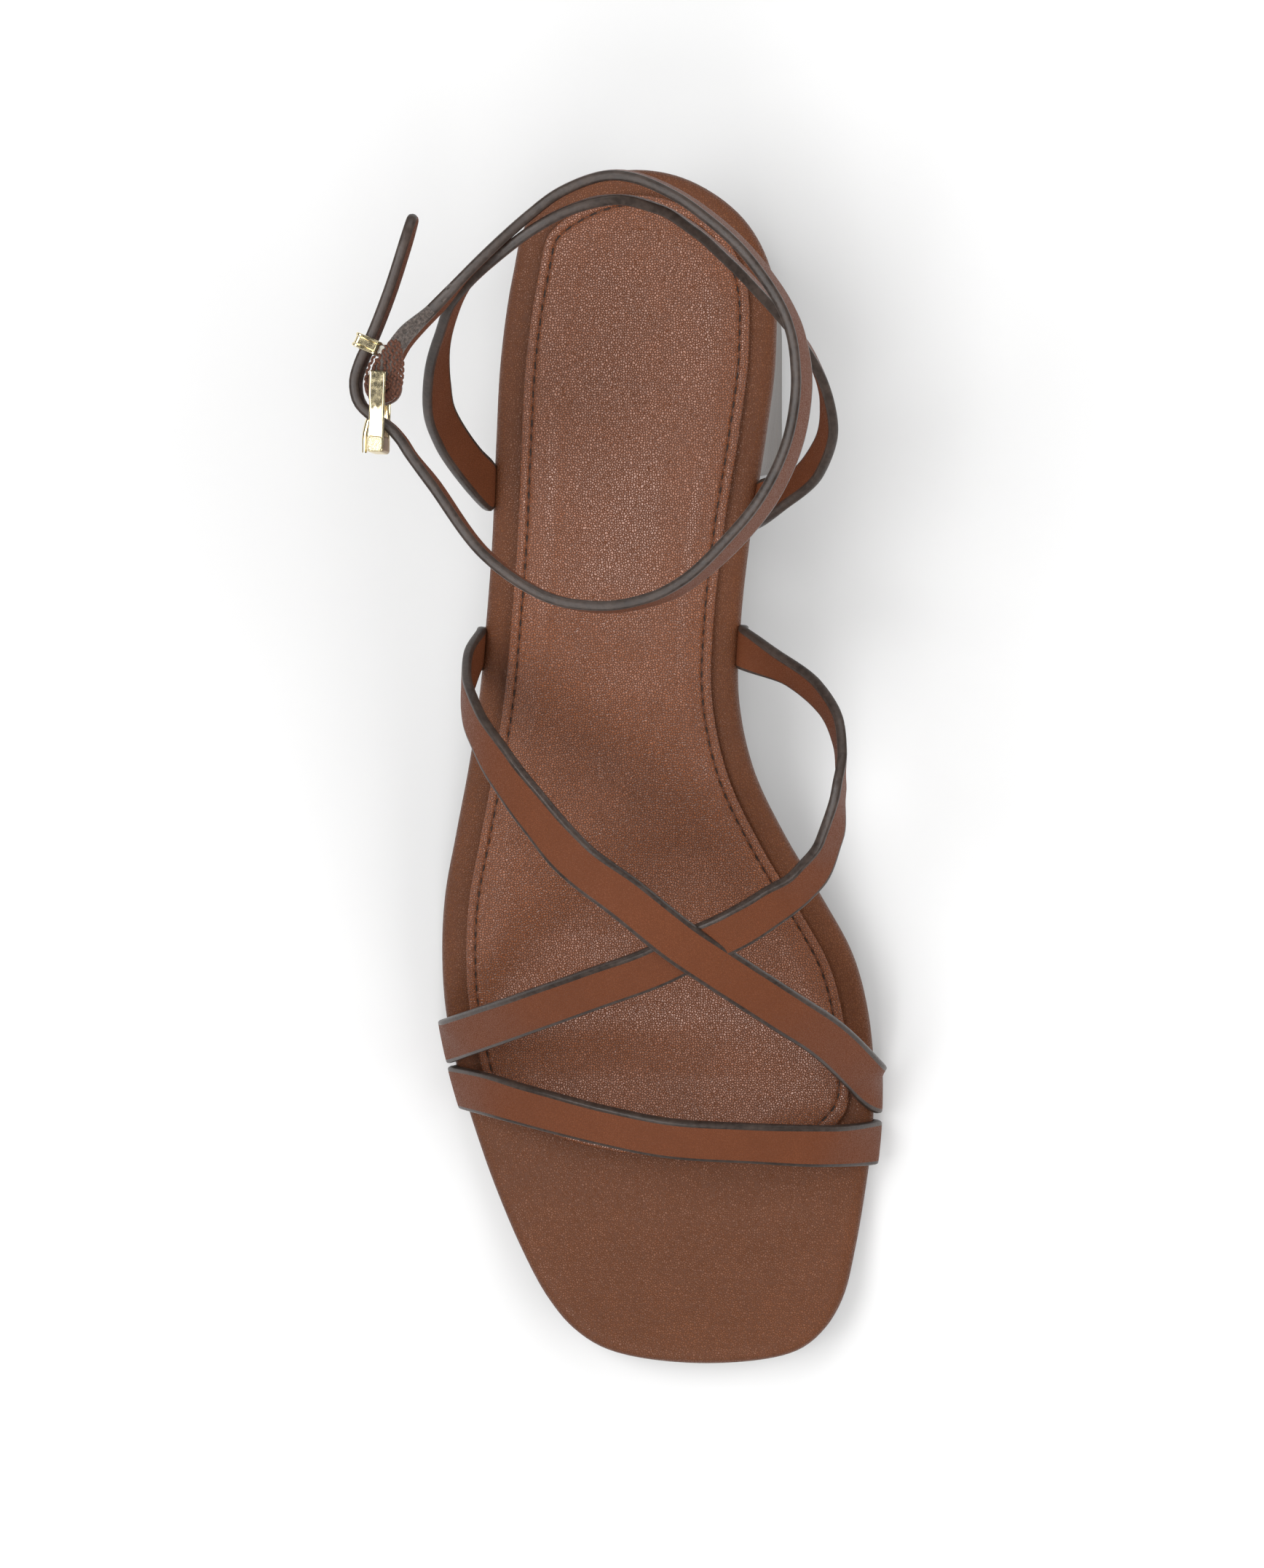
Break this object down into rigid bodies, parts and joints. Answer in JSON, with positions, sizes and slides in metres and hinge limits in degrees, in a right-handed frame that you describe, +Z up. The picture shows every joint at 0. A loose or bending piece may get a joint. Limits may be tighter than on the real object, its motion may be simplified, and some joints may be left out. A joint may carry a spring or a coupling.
{
  "type": "strappy heeled sandal",
  "caption": "Open sandal on a covered block heel with crossed instep straps, a toe strap and a buckled ankle strap.",
  "frame": {"origin": "on the floor, at the centre of the heel's top piece", "axes": "+Y towards the back of the heel and -Y towards the toe, +X towards the foot's inner (medial) side, +Z up"},
  "size_m": [0.0988, 0.238, 0.131],
  "materials": {
    "sock_leather": "grained",
    "cover_leather": "smooth",
    "strap_leather": "smooth",
    "outsole_rubber": "matt",
    "stacked_heel": "satin",
    "top_piece_rubber": "matt",
    "gold_metal": "polished"
  },
  "bodies": {
    "root": {"outsole": "outsole_rubber", "footbed": "cover_leather", "sock_lining": "sock_leather", "heel_block": "stacked_heel", "top_piece": "top_piece_rubber", "toe_strap": "strap_leather", "cross_straps": "strap_leather", "heel_and_ankle_straps": "strap_leather", "buckle_frame": "gold_metal", "buckle_prong": "gold_metal", "strap_keeper": "gold_metal"}
  },
  "joints": []
}
